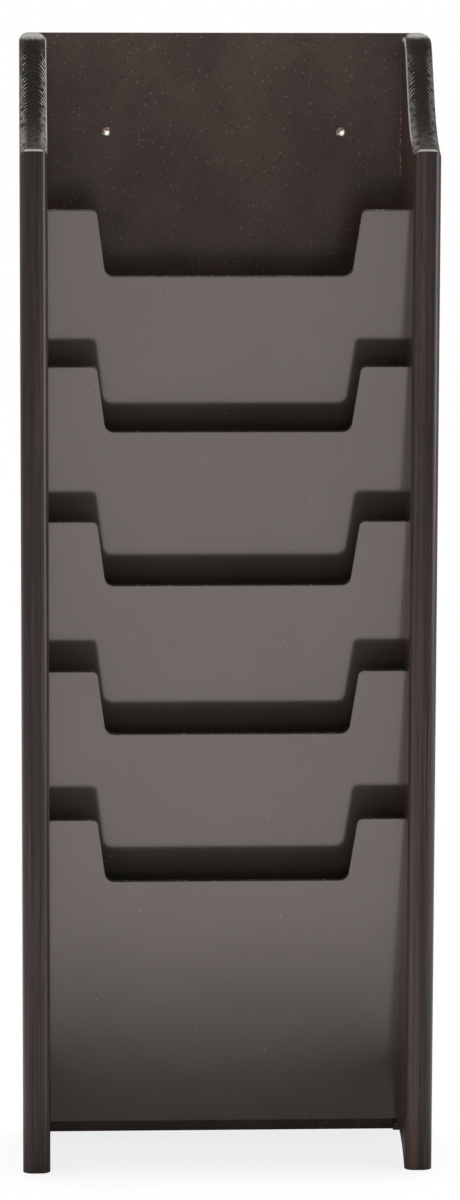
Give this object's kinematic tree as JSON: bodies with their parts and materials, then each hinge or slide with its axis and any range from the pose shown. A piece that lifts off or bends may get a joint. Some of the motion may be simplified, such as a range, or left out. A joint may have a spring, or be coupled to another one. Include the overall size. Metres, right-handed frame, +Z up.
{
  "type": "literature rack",
  "caption": "Tall narrow wall rack with sloping notched pockets between two dark-stained wooden sides with coved tops, for leaflets and magazines.",
  "frame": {"origin": "on the floor, under the middle of the rack's box", "axes": "+X to the right seen from the front, +Y back to the wall, +Z up"},
  "size_m": [0.2858, 0.1142, 0.7862],
  "materials": {
    "stained_wood": "espresso-stained open-pored hardwood under satin lacquer",
    "lacquered_board": "smooth hardboard with a satin brown-black lacquer",
    "back_hardboard": "dull stained hardboard with fine fibre flecks",
    "floor_wood": "stained wood, satin",
    "brad_steel": "plain bright wire"
  },
  "bodies": {
    "root": {"left_side": "stained_wood", "right_side": "stained_wood", "back_panel": "back_hardboard", "pocket_front_1": "lacquered_board", "pocket_floor_1": "floor_wood", "pocket_front_2": "lacquered_board", "pocket_floor_2": "floor_wood", "pocket_front_3": "lacquered_board", "pocket_floor_3": "floor_wood", "pocket_front_4": "lacquered_board", "pocket_floor_4": "floor_wood", "pocket_front_5": "lacquered_board", "pocket_floor_5": "floor_wood", "back_brad_left_1": "brad_steel", "back_brad_left_2": "brad_steel", "back_brad_left_3": "brad_steel", "back_brad_left_4": "brad_steel", "back_brad_left_5": "brad_steel", "back_brad_left_6": "brad_steel", "back_brad_left_7": "brad_steel", "back_brad_right_1": "brad_steel", "back_brad_right_2": "brad_steel", "back_brad_right_3": "brad_steel", "back_brad_right_4": "brad_steel", "back_brad_right_5": "brad_steel", "back_brad_right_6": "brad_steel", "back_brad_right_7": "brad_steel"}
  },
  "joints": []
}
